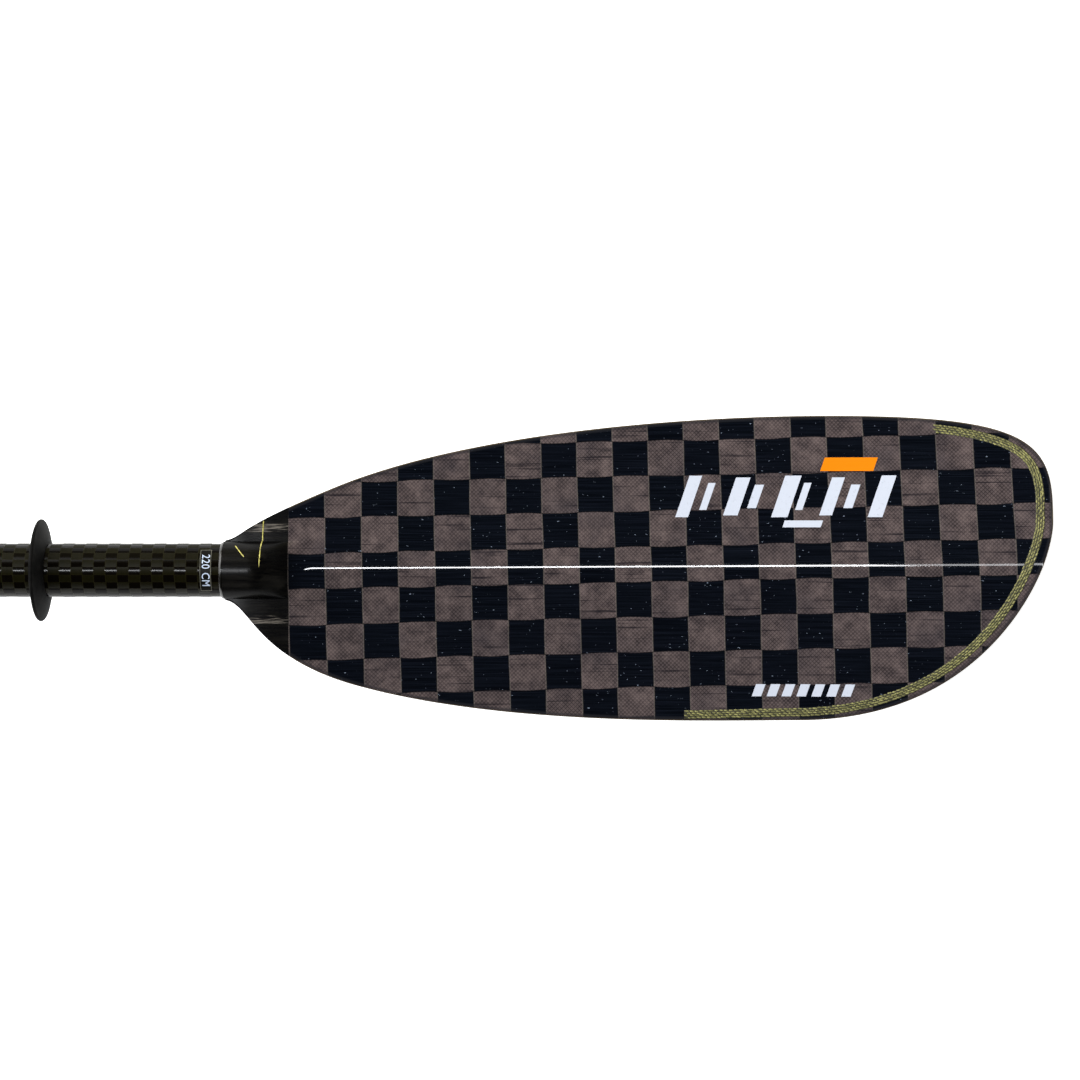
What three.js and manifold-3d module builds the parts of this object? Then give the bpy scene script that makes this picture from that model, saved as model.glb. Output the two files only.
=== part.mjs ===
// Two-piece touring kayak paddle, lying with its power faces up and its feather angle at zero.
// Millimetres. X runs along the shaft from the ferrule joint, Y across the blades with the long
// edge at +Y, +Z out of the power faces. Z = 0 is the floor that the drip rings and blades lie on.
import * as THREE from 'three';
import { mergeVertices } from 'three/addons/utils/BufferGeometryUtils.js';
import Module from 'manifold-3d';

const wasm = await Module();
wasm.setup();

// ---- driving dimensions -------------------------------------------------------------------
const LENGTH = 2200;            // tip to tip, put together
const SHAFT_R = 14.6;           // outside of the wound carbon tube
const SHAFT_WALL = 1.2;
const BLADE_LENGTH = 451;       // neck line to tip
const LONG_EDGE = 85.3;         // widest reach of the upper edge from the shaft's axis
const SHORT_EDGE = 83.6;        // widest reach of the lower edge
const SPOON = 19.6;             // dip of the ridge under the shaft's axis
const SPOON_AT = 236;           // where the dip is deepest, from the neck line
const SPOON_FROM = 16;          // where it starts, past the straight socket
const DIHEDRAL = 0.09;          // fall of the power face away from its ridge, mm per mm
const RIDGE_ROUND = 4;          // rounding of that ridge
const SKIN = 0.8;               // laminate of one blade skin
const SEAM = 0.2;               // bond line between the two skins
const MID_THICKNESS = 6;        // blade over its foam core
const CORE_INSET = 14;          // solid rim round the core
const CORE_FROM = 30;           // from the neck line
const CORE_END = 45;            // from the tip
const NECK_BOND = 0.12;         // bond line between the shaft and the blade's socket
const ARCH_FADE = [14, 40];     // where the socket's arch sinks into the power face
const SPINE_FADE = [85, 130];   // where the spine sinks into the back
const TONGUE = 95;              // how far the cut-back shaft end reaches into the blade
const FLANGE = 0.6;             // seam flange beside the socket's mouth
const STITCH_WIDTH = 5;         // band of edge stitching
const STITCH_REACH = [62, 200]; // back from the tip, along the long edge and the short edge
const STITCH_INSET = [2.7, 5, 1]; // in from the outline at its start, the tip and its end
const STITCH_HEIGHT = 0.4;
const STITCH_GAP = 0.3;
const RING_R = 27.9;            // drip ring
const RING_LIP = 2.0;
const RING_HUB_R = 17.4;
const RING_OUT = 4.3;           // hub on the blade's side of the rim
const RING_IN = 3.6;            // hub on the hand's side
const RING_AT = 549;            // from the ferrule joint
const RING_CLEAR = 0.1;
const LABEL_AT = 640.2;         // size label, from the ferrule joint
const LABEL_WIDTH = 6.6;
const LABEL_FACETS = 11;        // facets of the shaft that the label wraps
const LABEL_FILM = 0.12;
const GRIP = [200, 400];        // stretch that a hand or a rack's clip holds
const JOINT_GAP = 0.3;          // between the two shaft ends
const BOND = 0.15;              // glue line of a piece inside the tube
const SLEEVE_LENGTH = 112;      // female ferrule
const SLEEVE_WALL = 0.95;
const SPIGOT_LENGTH = 92;       // male ferrule, past the joint
const SPIGOT_ROOT = 60;         // male ferrule, glued into the left shaft
const SPIGOT_RUN = 0.2;         // running clearance in the sleeve
const SPIGOT_WALL = 2.0;
const BUTTON_AT = 45;           // from the ferrule joint
const BUTTON_R = 3.0;
const BUTTON_HOLE = 0.3;        // clearance round the button in the spigot and in the holes
const BUTTON_FLANGE_R = 4.2;
const BUTTON_FLANGE = 1.0;
const BUTTON_TRAVEL = 4.5;
const SPRING_WIDTH = 6;
const FEATHER = [-60, 0, 60];   // degrees between the holes that the button drops into
const O_RING_AT = 80;
const O_RING_WIRE = 0.5;        // radius of its section
const O_RING_GROOVE = 1.1;      // depth of its groove
const BULKHEAD = [-45, -15];    // foam plug under the neck, from the neck line
const JOINT_PLUG = [126, 150];  // foam plug inside the right shaft
const SPIGOT_PLUG = [-52, -30]; // foam plug inside the spigot's root
const FACETS = 40;              // round every tube
const NECK_CELLS = 5;           // cells along the sinking of the socket's arch
const LENGTHWISE = 16;          // cells along the rest of a blade
const STITCH_CELLS = 44;        // cells along the stitching
const BAND = 12;                // cells across the socket's arch
const WING = 3;                 // cells from the arch to each edge

// ---- what follows from them ---------------------------------------------------------------
const NECK_X = LENGTH / 2 - BLADE_LENGTH;
const NECK_CLEAR = NECK_BOND + SHAFT_R * (1 - Math.cos(Math.PI / 2 / BAND));
const SOCKET_R = SHAFT_R + NECK_CLEAR + SKIN;
const BORE_R = SHAFT_R - SHAFT_WALL;
const SLEEVE_R = BORE_R - BOND;
const SLEEVE_BORE = SLEEVE_R - SLEEVE_WALL;
const SPIGOT_R = SLEEVE_BORE - SPIGOT_RUN;
const SPIGOT_BORE = SPIGOT_R - SPIGOT_WALL;
const chordAt = (width) => Math.sqrt((SPIGOT_BORE * Math.cos(Math.PI / FACETS)) ** 2 - width ** 2);
const FLANGE_STOP = chordAt(BUTTON_FLANGE_R) - 0.15;
const EDGE_THICKNESS = 2 * SKIN + SEAM;
const HALF_FACET = Math.PI / FACETS;
const AXIS_Z = RING_R * Math.cos(HALF_FACET);
const AXIS_Y = (SHORT_EDGE - LONG_EDGE) / 2;

const LOOKS = {
  carbon: { color: 0x17171b, roughness: 0.32, metalness: 0.1 },
  carbonBack: { color: 0x141418, roughness: 0.38, metalness: 0.1 },
  foam: { color: 0xd9d3bd, roughness: 0.95, metalness: 0 },
  aramid: { color: 0x8f8d52, roughness: 0.7, metalness: 0 },
  resin: { color: 0x1b1a18, roughness: 0.25, metalness: 0 },
  rubber: { color: 0x1a1a1b, roughness: 0.8, metalness: 0 },
  film: { color: 0xe9e9e6, roughness: 0.35, metalness: 0 },
  glassfibre: { color: 0x23231f, roughness: 0.4, metalness: 0 },
  steel: { color: 0xb4b6b8, roughness: 0.3, metalness: 1 },
};

// ---- helpers ------------------------------------------------------------------------------
function piece(name, geometry, look) {
  const mesh = new THREE.Mesh(geometry, new THREE.MeshStandardMaterial(LOOKS[look]));
  mesh.name = name;
  return mesh;
}

function bare(geometry) {
  const copy = geometry.clone();
  for (const key of Object.keys(copy.attributes)) if (key !== 'position') copy.deleteAttribute(key);
  return mergeVertices(copy, 1e-4);
}

function solid(geometry) {
  const merged = bare(geometry);
  const vertProperties = new Float32Array(merged.attributes.position.array);
  const triVerts = new Uint32Array(merged.index.array);
  return new wasm.Manifold(new wasm.Mesh({ numProp: 3, vertProperties, triVerts }));
}

function geometryOf(manifold) {
  const mesh = manifold.getMesh();
  const geometry = new THREE.BufferGeometry();
  geometry.setAttribute('position', new THREE.BufferAttribute(new Float32Array(mesh.vertProperties), 3));
  geometry.setIndex(new THREE.BufferAttribute(new Uint32Array(mesh.triVerts), 1));
  geometry.computeVertexNormals();
  return geometry;
}

function cut(geometry, ...tools) {
  return geometryOf(tools.reduce((left, tool) => left.subtract(solid(tool)), solid(geometry)));
}

const smooth = (x, [a, b]) => THREE.MathUtils.smoothstep(x, a, b);

// A profile of [x, radius] points turned round the shaft's axis, one facet facing straight down.
function turned(profile) {
  const points = profile.map(([x, r]) => new THREE.Vector2(r, x));
  return new THREE.LatheGeometry(points, FACETS, HALF_FACET).rotateZ(-Math.PI / 2);
}

function tube(x0, x1, outer, inner, rings = []) {
  const outside = [x0, ...rings, x1].map((x) => [x, outer]);
  return turned([[x0, inner], ...outside, [x1, inner], [x0, inner]]);
}

function rod(x0, x1, radius) {
  return turned([[x0, 0], [x0, radius], [x1, radius], [x1, 0]]);
}

// A round bar across the tube at x, from its axis outwards, turned to an angle from straight up.
function crossBar(x, radius, reach, degrees) {
  return new THREE.CylinderGeometry(radius, radius, reach, 24)
    .translate(0, reach / 2, 0)
    .rotateX(Math.PI / 2)
    .rotateX(THREE.MathUtils.degToRad(-degrees))
    .translate(x, 0, 0);
}

// ---- blade surfaces, u from the neck line towards the tip, v from the shaft's axis ------------
function edgeOf(reach, shares) {
  const at = shares.map(([u, v]) => new THREE.Vector2(u * BLADE_LENGTH, v * reach));
  at[0].y = Math.sign(shares[1][1]) * (SOCKET_R + FLANGE);
  const path = new THREE.CurvePath();
  for (let i = 0; i < at.length - 1; i += 3) {
    path.add(new THREE.CubicBezierCurve(at[i], at[i + 1], at[i + 2], at[i + 3]));
  }
  return path.getSpacedPoints(900);
}

// Control points as shares of the blade's length and of each edge's reach.
const LONG_SIDE = edgeOf(LONG_EDGE, [
  [0, 0], [0.022, 0.215], [0.011, 0.264], [0.126, 0.523],
  [0.278, 0.87], [0.533, 1], [0.726, 1],
  [0.968, 1], [1, 0.842], [1, 0.397],
]);
const SHORT_SIDE = edgeOf(SHORT_EDGE, [
  [0, 0], [0.032, -0.228], [0.035, -0.574], [0.156, -0.762],
  [0.347, -1.059], [0.608, -1], [0.696, -1],
  [0.939, -1], [1, 0.089], [1, 0.313],
]);

function widthAt(side, u) {
  const next = Math.max(1, side.findIndex((p) => p.x >= u));
  const [a, b] = [side[next - 1], side[next]];
  return THREE.MathUtils.mapLinear(Math.min(u, b.x), a.x, b.x, a.y, b.y);
}

function dip(u) {
  const past = (Math.hypot(u - SPOON_FROM, 8) + u - SPOON_FROM) / 2;
  return 1 - (past / (SPOON_AT - SPOON_FROM) - 1) ** 2;
}

// Height of the power face over the shaft's axis: a spoon along, a shallow roof across.
function power(u, v) {
  const roof = DIHEDRAL * (Math.hypot(v, RIDGE_ROUND) - RIDGE_ROUND);
  return EDGE_THICKNESS / 2 - SPOON * dip(u) - smooth(u, [0, 45]) * roof;
}

function thickness(u, v) {
  const low = widthAt(SHORT_SIDE, u);
  const share = THREE.MathUtils.clamp((v - low) / (widthAt(LONG_SIDE, u) - low), 0, 1);
  const along = smooth(u, [0, 80]) * (1 - smooth(u / BLADE_LENGTH, [0.8, 1.02]));
  return EDGE_THICKNESS + (MID_THICKNESS - EDGE_THICKNESS) * 4 * share * (1 - share) * along;
}

// Height of a skin at (u, v): side 1 is the power face, -1 the back; inset goes into the laminate.
const laminate = (u, v, side, inset) =>
  power(u, v) - (side > 0 ? inset : thickness(u, v) - inset);

// One row of points across a skin. The middle band arches over the shaft, which lies in the
// socket and under the spine; the wings run on from it, to a margin inside the outline.
function station(u, side, inset, margin = 0) {
  const low = widthAt(SHORT_SIDE, u) + margin;
  const high = widthAt(LONG_SIDE, u) - margin;
  const radius = SOCKET_R - inset;
  const left = Math.max(-radius, low + FLANGE);
  const right = left + Math.min(2 * radius, high - left - FLANGE);
  const fade = 1 - smooth(u, side > 0 ? ARCH_FADE : SPINE_FADE);
  const rise = side * fade * Math.max(0, radius - side * laminate(u, 0, side, inset));
  const point = (v, arch) => new THREE.Vector3(u, v, laminate(u, v, side, inset) + rise * arch);
  const row = [];
  for (let i = 0; i < WING; i++) row.push(point(THREE.MathUtils.lerp(low, left, i / WING), 0));
  for (let i = 0; i <= BAND; i++) {
    const angle = Math.PI * (i / BAND - 0.5);
    row.push(point(THREE.MathUtils.lerp(left, right, (1 + Math.sin(angle)) / 2), Math.cos(angle)));
  }
  for (let i = 1; i <= WING; i++) row.push(point(THREE.MathUtils.lerp(right, high, i / WING), 0));
  return row;
}

// A closed shell between two grids of points, upper over lower, rows by columns.
function shell(upper, lower) {
  const rows = upper.length;
  const columns = upper[0].length;
  const index = [];
  const quad = (...corners) => {
    const [a, b, c, d] = corners.map(([layer, r, k]) => (layer * rows + r) * columns + k);
    index.push(a, b, c, a, c, d);
  };
  for (let r = 0; r < rows - 1; r++) {
    for (let k = 0; k < columns - 1; k++) {
      quad([0, r, k], [0, r + 1, k], [0, r + 1, k + 1], [0, r, k + 1]);
      quad([1, r, k], [1, r, k + 1], [1, r + 1, k + 1], [1, r + 1, k]);
    }
    quad([0, r, 0], [1, r, 0], [1, r + 1, 0], [0, r + 1, 0]);
    const last = columns - 1;
    quad([0, r + 1, last], [1, r + 1, last], [1, r, last], [0, r, last]);
  }
  for (let k = 0; k < columns - 1; k++) {
    const last = rows - 1;
    quad([0, 0, k + 1], [1, 0, k + 1], [1, 0, k], [0, 0, k]);
    quad([0, last, k], [1, last, k], [1, last, k + 1], [0, last, k + 1]);
  }
  const geometry = new THREE.BufferGeometry();
  geometry.setAttribute('position', new THREE.BufferAttribute(
    new Float32Array([...upper.flat(), ...lower.flat()].flatMap((p) => p.toArray())), 3));
  geometry.setIndex(index);
  return geometry;
}

const even = (from, to, cells) =>
  Array.from({ length: cells + 1 }, (_, i) => THREE.MathUtils.lerp(from, to, i / cells));

// Stations close up towards the far end, where the outline turns.
const closing = (from, to, cells) =>
  even(0, Math.PI / 2, cells).map((angle) => THREE.MathUtils.lerp(from, to, Math.sin(angle)));

const ROWS = [
  0, ARCH_FADE[0] / 2, ...even(...ARCH_FADE, NECK_CELLS),
  ...closing(ARCH_FADE[1], BLADE_LENGTH, LENGTHWISE).slice(1),
];

function skin(side) {
  const [upper, lower] = side > 0 ? [0, SKIN] : [SKIN, 0];
  return shell(ROWS.map((u) => station(u, side, upper)), ROWS.map((u) => station(u, side, lower)));
}

// The foam stops beside the shaft's tongue, so the slot for it goes right through.
function core() {
  const rows = ROWS.filter((u) => u > CORE_FROM && u < BLADE_LENGTH - CORE_END);
  const inset = SKIN + SEAM;
  const foam = shell(
    rows.map((u) => station(u, 1, inset, CORE_INSET)),
    rows.map((u) => station(u, -1, inset, CORE_INSET)));
  const slot = new THREE.BoxGeometry(TONGUE, 2 * (SHAFT_R + NECK_CLEAR), 6 * SHAFT_R)
    .translate(TONGUE / 2 + 3, 0, 0);
  return cut(foam, slot);
}

// A flat band over the power face that follows the outline round the tip.
function stitching() {
  const [onLong, onShort] = STITCH_REACH.map((reach) => BLADE_LENGTH - reach);
  const outline = new THREE.CurvePath();
  const corners = [
    ...LONG_SIDE.filter((p) => p.x >= onLong),
    ...SHORT_SIDE.filter((p) => p.x >= onShort).reverse(),
  ];
  corners.slice(1).forEach((p, i) => outline.add(new THREE.LineCurve(corners[i], p)));
  const [start, tip, end] = STITCH_INSET;
  const row = (share, height) => {
    const at = outline.getPointAt(share);
    const ahead = outline.getPointAt(Math.min(1, share + 0.004));
    const behind = outline.getPointAt(Math.max(0, share - 0.004));
    const inward = ahead.sub(behind).normalize().rotateAround(new THREE.Vector2(), -Math.PI / 2);
    const inset = share < 0.35
      ? THREE.MathUtils.lerp(start, tip, share / 0.35)
      : THREE.MathUtils.lerp(tip, end, (share - 0.35) / 0.65);
    return [inset + STITCH_WIDTH, inset + STITCH_WIDTH / 2, inset].map((depth) => {
      const p = at.clone().addScaledVector(inward, depth);
      return new THREE.Vector3(p.x, p.y, power(p.x, p.y) + height);
    });
  };
  const shares = even(0, 1, STITCH_CELLS);
  return shell(
    shares.map((share) => row(share, STITCH_GAP + STITCH_HEIGHT)),
    shares.map((share) => row(share, STITCH_GAP)));
}

// ---- shaft and what is on it ------------------------------------------------------------------
// The blade end is cut back to a tongue that lies in the back skin, under the power face.
function shaft() {
  const whole = tube(JOINT_GAP / 2, NECK_X + TONGUE, SHAFT_R, BORE_R, GRIP);
  const [from] = ARCH_FADE;
  const under = (u) => power(u, SHAFT_R) - SKIN - 0.5;
  const profile = [
    [from - 10, SHAFT_R + 0.4], [from + 2, -4], [from + 16, under(from + 16)],
    [TONGUE + 1, under(TONGUE)], [TONGUE + 1, 2 * SHAFT_R], [from - 10, 2 * SHAFT_R],
  ];
  const above = new THREE.Shape(profile.map(([u, z]) => new THREE.Vector2(NECK_X + u, z)));
  const depth = 3 * SHAFT_R;
  const cutter = new THREE.ExtrudeGeometry(above, { depth, bevelEnabled: false })
    .translate(0, 0, -depth / 2)
    .rotateX(Math.PI / 2);
  return [whole, cutter];
}

const holes = () => FEATHER.map((angle) =>
  crossBar(BUTTON_AT, BUTTON_R + BUTTON_HOLE, SHAFT_R + 3, angle));

// A rubber cup: a thin lip, a face that rises to the hub towards the blade, a short collar behind.
function dripRing() {
  const bore = SHAFT_R + RING_CLEAR;
  const [half, x] = [RING_LIP / 2, RING_AT];
  return turned([
    [x + RING_OUT, bore], [x - RING_IN, bore], [x - RING_IN, RING_HUB_R - 0.5],
    [x - half - 0.8, RING_HUB_R], [x - half, RING_HUB_R + 0.8], [x - half, RING_R - 0.8],
    [x - 0.5 * half, RING_R], [x + 0.5 * half, RING_R], [x + half, RING_R - 0.8],
    [x + 0.4 * RING_OUT, RING_R - 3.4], [x + 0.72 * RING_OUT, RING_HUB_R + 1.6],
    [x + RING_OUT, bore + 0.8], [x + RING_OUT, bore],
  ]);
}

// A film that follows the shaft's facets over its top.
function sizeLabel() {
  const step = 2 * HALF_FACET;
  const rim = (radius) => Array.from({ length: LABEL_FACETS + 1 }, (_, i) => {
    const angle = Math.PI / 2 + step * (i - LABEL_FACETS / 2);
    return new THREE.Vector2(radius * Math.cos(angle), radius * Math.sin(angle));
  });
  const inner = SHAFT_R + 0.1;
  const outline = new THREE.Shape([...rim(inner + LABEL_FILM), ...rim(inner).reverse()]);
  return new THREE.ExtrudeGeometry(outline, { depth: LABEL_WIDTH, bevelEnabled: false })
    .rotateX(Math.PI / 2)
    .rotateZ(Math.PI / 2)
    .translate(LABEL_AT - LABEL_WIDTH / 2, 0, 0);
}

function neckBead() {
  const [inner, x] = [SHAFT_R + 0.1, NECK_X - 0.3];
  return turned([[x, inner], [x - 1.5, inner], [x - 0.5, SOCKET_R], [x, SOCKET_R], [x, inner]]);
}

// ---- ferrule ------------------------------------------------------------------------------------
function sleeve() {
  const body = tube(JOINT_GAP / 2, SLEEVE_LENGTH, SLEEVE_R, SLEEVE_BORE);
  return cut(body, ...holes());
}

// Drawn towards +X, as it stands in the sleeve; its glued root is a little fatter.
function spigot() {
  const groove = SPIGOT_R - O_RING_GROOVE;
  const side = O_RING_WIRE + 0.2;
  const body = turned([
    [-SPIGOT_ROOT, SPIGOT_BORE], [-SPIGOT_ROOT, SLEEVE_R], [-JOINT_GAP / 2, SLEEVE_R],
    [-JOINT_GAP / 2, SPIGOT_R], [O_RING_AT - side, SPIGOT_R], [O_RING_AT - side, groove],
    [O_RING_AT + side, groove], [O_RING_AT + side, SPIGOT_R], [SPIGOT_LENGTH - 1, SPIGOT_R],
    [SPIGOT_LENGTH, SPIGOT_R - 1], [SPIGOT_LENGTH, SPIGOT_BORE], [-SPIGOT_ROOT, SPIGOT_BORE],
  ]);
  return cut(body, crossBar(BUTTON_AT, BUTTON_R + BUTTON_HOLE, SPIGOT_R + 3, 0));
}

function oRing() {
  const centre = (SPIGOT_R - O_RING_GROOVE + SLEEVE_BORE) / 2;
  const wire = even(0, -2 * Math.PI, 6).map((angle) =>
    [O_RING_AT + O_RING_WIRE * Math.cos(angle), centre + O_RING_WIRE * Math.sin(angle)]);
  return turned(wire);
}

// The button is stored pressed in, level with the spigot; its flange stops it from inside.
function snapButton() {
  const top = SPIGOT_R - 0.1;
  const flange = FLANGE_STOP - BUTTON_TRAVEL;
  const profile = [[0, flange - BUTTON_FLANGE], [BUTTON_FLANGE_R, flange - BUTTON_FLANGE],
    [BUTTON_FLANGE_R, flange], [BUTTON_R, flange], [BUTTON_R, top - 0.9],
    [0.75 * BUTTON_R, top - 0.3], [0, top]];
  return new THREE.LatheGeometry(profile.map(([r, z]) => new THREE.Vector2(r, z)), 24)
    .rotateX(Math.PI / 2)
    .translate(BUTTON_AT, 0, 0);
}

// A bent leaf: one leg lies on the spigot's wall, the other pushes the button out.
function snapSpring() {
  const floor = 0.3 - chordAt(SPRING_WIDTH / 2);
  const top = FLANGE_STOP - BUTTON_TRAVEL - BUTTON_FLANGE - 0.3;
  const [bend, end] = [BUTTON_AT - 32, BUTTON_AT + 3];
  const outline = [[bend, floor], [end + 9, floor], [end + 9, floor + 0.5], [bend + 2, floor + 0.5],
    [end, top - 0.6], [end, top], [end - 1, top], [bend, floor + 0.9]];
  const shape = new THREE.Shape(outline.map(([x, z]) => new THREE.Vector2(x, z)));
  return new THREE.ExtrudeGeometry(shape, { depth: SPRING_WIDTH, bevelEnabled: false })
    .translate(0, 0, -SPRING_WIDTH / 2)
    .rotateX(Math.PI / 2);
}

// ---- the two halves -----------------------------------------------------------------------------
function blade(side) {
  const group = new THREE.Group();
  group.add(
    piece(`${side}_face_skin`, skin(1), 'carbon'),
    piece(`${side}_back_skin`, skin(-1), 'carbonBack'),
    piece(`${side}_blade_core`, core(), 'foam'),
    piece(`${side}_edge_stitching`, stitching(), 'aramid'),
    piece(`${side}_bulkhead`, rod(...BULKHEAD, BORE_R - BOND), 'foam'));
  group.position.x = NECK_X;
  return group;
}

function half(side) {
  const group = new THREE.Group();
  const [whole, cutter] = shaft();
  const cuts = side === 'right' ? [cutter, ...holes()] : [cutter];
  group.add(
    blade(side),
    piece(`${side}_shaft`, cut(whole, ...cuts), 'carbon'),
    piece(`${side}_neck_bead`, neckBead(), 'resin'),
    piece(`${side}_drip_ring`, dripRing(), 'rubber'));
  return group;
}

const right = half('right');
right.add(
  piece('right_joint_plug', rod(...JOINT_PLUG, BORE_R - BOND), 'foam'),
  piece('right_ferrule_sleeve', sleeve(), 'glassfibre'),
  piece('size_label', sizeLabel(), 'film'));

const left = half('left');
left.scale.x = -1;

const joint = new THREE.Group();
joint.add(
  piece('left_ferrule_spigot', spigot(), 'glassfibre'),
  piece('left_spigot_plug', rod(...SPIGOT_PLUG, SPIGOT_BORE - BOND), 'foam'),
  piece('ferrule_o_ring', oRing(), 'rubber'),
  piece('snap_button', snapButton(), 'steel'),
  piece('snap_spring', snapSpring(), 'steel'));

const paddle = new THREE.Group();
paddle.add(right, left, joint);
paddle.position.set(0, AXIS_Y, AXIS_Z);

export default paddle;
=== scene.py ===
from functools import partial

import bmesh
import bpy
import numpy as np
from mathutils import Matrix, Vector


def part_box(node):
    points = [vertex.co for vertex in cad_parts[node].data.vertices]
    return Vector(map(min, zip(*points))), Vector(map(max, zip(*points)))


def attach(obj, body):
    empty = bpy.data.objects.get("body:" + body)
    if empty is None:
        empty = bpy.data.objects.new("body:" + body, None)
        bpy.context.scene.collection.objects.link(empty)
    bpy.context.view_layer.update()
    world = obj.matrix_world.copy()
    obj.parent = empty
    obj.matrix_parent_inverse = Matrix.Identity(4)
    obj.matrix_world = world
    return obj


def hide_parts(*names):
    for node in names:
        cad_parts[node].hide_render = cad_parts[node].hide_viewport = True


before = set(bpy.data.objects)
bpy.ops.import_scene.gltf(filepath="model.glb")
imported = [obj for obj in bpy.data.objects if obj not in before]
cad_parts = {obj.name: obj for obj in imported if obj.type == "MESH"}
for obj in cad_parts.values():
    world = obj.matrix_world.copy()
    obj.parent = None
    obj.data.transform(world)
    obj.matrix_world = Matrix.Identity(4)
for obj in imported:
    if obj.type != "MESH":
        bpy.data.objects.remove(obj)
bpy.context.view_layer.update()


# ---- Blade shape -------------------------------------------------------------------------------
# Each blade is two carbon skins pressed over a foam core. The outline is asymmetric, the power
# face is spooned lengthwise and falls away from a ridge, and a socket arches over the shaft.
ring_low, ring_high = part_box("ferrule_o_ring")
AXIS_Y = (ring_low[1] + ring_high[1]) / 2
AXIS_Z = (ring_low[2] + ring_high[2]) / 2
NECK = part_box("right_face_skin")[0][0] * 1000
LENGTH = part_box("right_face_skin")[1][0] * 1000 - NECK
LONG_EDGE, SHORT_EDGE = 85.3, 83.6
SHAFT_R = 14.6
SPOON, SPOON_AT, SPOON_FROM = 19.6, 236, 16
DIHEDRAL, RIDGE_ROUND = 0.09, 4
SKIN, RIM, MIDDLE, FLANGE = 0.8, 1.8, 6, 0.6
SOCKET_R = SHAFT_R + 1.045
FIRST_TOW = 33.9
SOCKET_ROWS = 36


def smooth(x, low, high):
    """Smoothstep: 3t^2 - 2t^3 of x's place t between low and high."""
    t = np.clip((x - low) / (high - low), 0, 1)
    return t * t * (3 - 2 * t)


def edge_curve(reach, start, shares):
    """A chain of cubic Beziers, points given as shares of blade length and edge reach."""
    points = np.array(shares) * (LENGTH, reach)
    points[0, 1] = start
    t = np.linspace(0, 1, 300)[:, None]
    return np.vstack([
        (1 - t) ** 3 * a + 3 * (1 - t) ** 2 * t * b + 3 * (1 - t) * t**2 * c + t**3 * d
        for a, b, c, d in (points[i : i + 4] for i in (0, 3, 6))
    ])


LONG_SIDE = edge_curve(LONG_EDGE, SOCKET_R + FLANGE, [
    (0, 0), (0.022, 0.215), (0.011, 0.264), (0.126, 0.523),
    (0.278, 0.87), (0.533, 1), (0.726, 1), (0.968, 1), (1, 0.842), (1, 0.397),
])
SHORT_SIDE = edge_curve(SHORT_EDGE, -SOCKET_R - FLANGE, [
    (0, 0), (0.032, -0.228), (0.035, -0.574), (0.156, -0.762),
    (0.347, -1.059), (0.608, -1), (0.696, -1), (0.939, -1), (1, 0.089), (1, 0.313),
])


def edges(u):
    """The short and the long edge's v at each u."""
    return np.interp(u, *SHORT_SIDE.T), np.interp(u, *LONG_SIDE.T)


def power(u, v):
    """Height of the power face over the shaft's axis: a parabola of depth SPOON along u, eased in
    past the socket, less a hyperbola's roof of slope DIHEDRAL across v."""
    past = (np.hypot(u - SPOON_FROM, 8) + u - SPOON_FROM) / 2
    dip = 1 - (past / (SPOON_AT - SPOON_FROM) - 1) ** 2
    roof = DIHEDRAL * (np.hypot(v, RIDGE_ROUND) - RIDGE_ROUND)
    return RIM / 2 - SPOON * dip - smooth(u, 0, 45) * roof


def skin_height(u, v, side, inset):
    """Height of a skin. Side 1 is the power face; the back lies a thickness below it, a parabola
    across. Over the shaft an ellipse rises to the socket's radius and fades out along u."""
    low, high = edges(u)
    along = smooth(u, 0, 80) * (1 - smooth(u / LENGTH, 0.8, 1.02))

    def base(at):
        share = (at - low) / (high - low)
        thick = RIM + (MIDDLE - RIM) * 4 * share * (1 - share) * along
        return power(u, at) - (inset if side > 0 else thick - inset)

    radius = SOCKET_R - inset
    fade = 1 - (smooth(u, 14, 40) if side > 0 else smooth(u, 85, 130))
    rise = side * fade * np.maximum(0, radius - side * base(0 * v))
    return base(v) + rise * np.sqrt(np.maximum(0, 1 - (v / radius) ** 2))


def skin_grid(side, inset, socket=SOCKET_ROWS, rows=160, wing=26, band=56):
    """Points of a skin. Rows run evenly over the socket's overlay and close up towards the tip as
    a sine; across v the middle band runs as the sine of an angle, the wings as a power law to the
    rim, where the outside rolls over a quarter circle of the skin's own thickness."""
    rest = np.sin(np.pi / 2 * np.linspace(0, 1, rows + 1)[1:]) * (LENGTH - FIRST_TOW) + FIRST_TOW
    u = np.concatenate([np.linspace(0, FIRST_TOW, socket + 1), rest])[:, None]
    low, high = edges(u)
    left = np.maximum(inset - SOCKET_R, low + FLANGE)
    right = left + np.minimum(2 * (SOCKET_R - inset), high - left - FLANGE)
    s = np.linspace(0, 1, wing + 1)[None, :-1] ** 1.7
    angle = np.pi * (np.linspace(0, 1, band + 1)[None] - 0.5)
    v = np.hstack([
        low + (left - low) * s,
        left + (right - left) * (1 + np.sin(angle)) / 2,
        (high + (right - high) * s)[:, ::-1],
    ])
    lean_low = np.hypot(1, np.gradient(low[:, 0], u[:, 0]))[:, None]
    lean_high = np.hypot(1, np.gradient(high[:, 0], u[:, 0]))[:, None]
    depth = np.minimum((v - low) / lean_low, (high - v) / lean_high)
    roll = SKIN - np.sqrt(np.maximum(SKIN**2 - np.maximum(SKIN - depth, 0) ** 2, 0))
    z = skin_height(u, v, side, inset) - side * roll * (0.94 if inset == 0 else 0)
    return np.stack([np.broadcast_to(u, v.shape), v, z], axis=-1), np.minimum(depth, LENGTH - u)


def on_paddle(points, hand):
    """Blade millimetres to the paddle's metres; hand is 1 for the right blade, -1 for the left."""
    x, y, z = np.moveaxis(np.asarray(points) / 1000, -1, 0)
    return np.stack([hand * (NECK / 1000 + x), AXIS_Y + y, AXIS_Z + z], axis=-1)


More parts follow.
